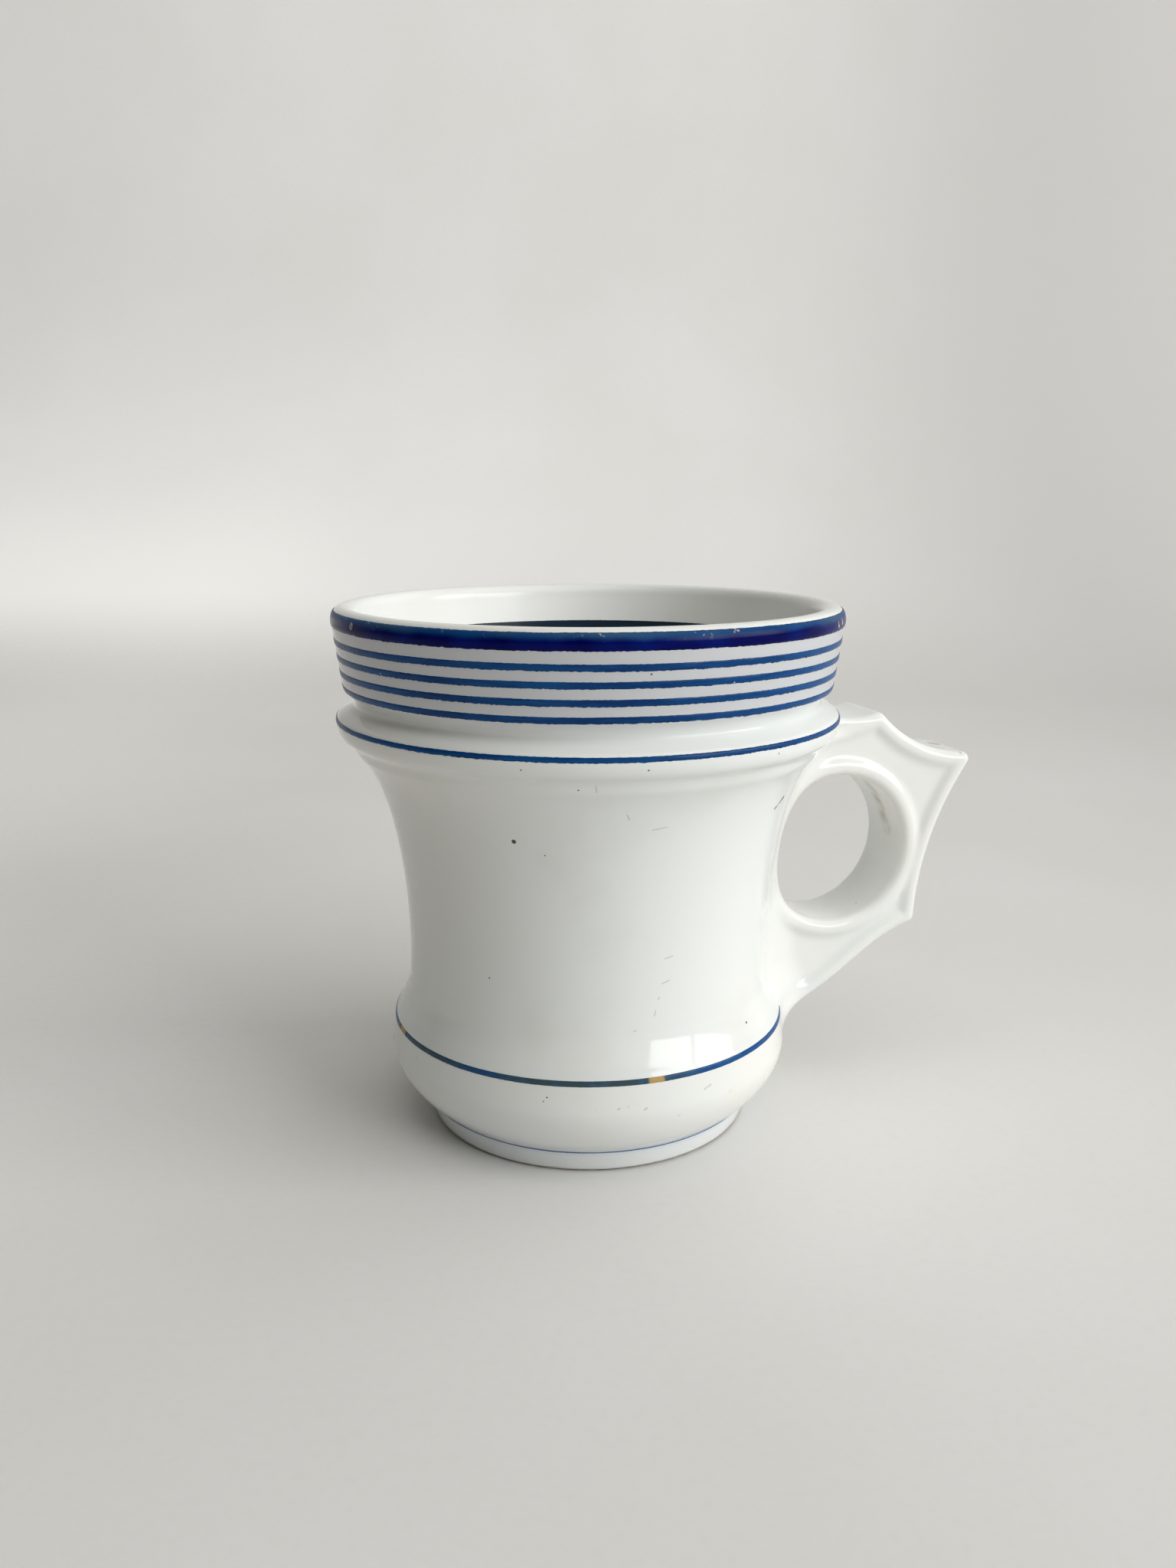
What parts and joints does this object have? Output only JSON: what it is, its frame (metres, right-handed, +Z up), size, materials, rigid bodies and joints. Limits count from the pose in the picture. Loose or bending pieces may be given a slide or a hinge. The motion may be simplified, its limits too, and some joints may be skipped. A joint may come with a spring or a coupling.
{
  "type": "brulot cup",
  "caption": "Thick porcelain coffee cup with a ringed foot, bulging base, waisted trunk, shouldered collar and cusped ring handle, banded with fired blue lines.",
  "frame": {"origin": "on the table under the middle of the whole cup's box, handle included, so the axis of the body stands at x = -13.2 mm", "axes": "+Z up along the cup's axis, +X along the handle away from the body, XZ is the mirror plane"},
  "size_m": [0.1044, 0.0778, 0.0819],
  "materials": {
    "porcelain": "clear gloss glaze over slightly grey-white hard porcelain",
    "line_blue": "fired blue enamel line, semi-gloss, hand banded",
    "band_blue": "fired dark blue enamel band, semi-gloss, worn through in specks"
  },
  "bodies": {
    "root": {"cup_body": "porcelain", "handle": "porcelain", "rim_band": "band_blue", "collar_line_1": "line_blue", "collar_line_2": "line_blue", "collar_line_3": "line_blue", "collar_line_4": "line_blue", "shoulder_line": "line_blue", "belly_line": "line_blue", "foot_line": "line_blue", "inner_line": "line_blue"}
  },
  "joints": []
}
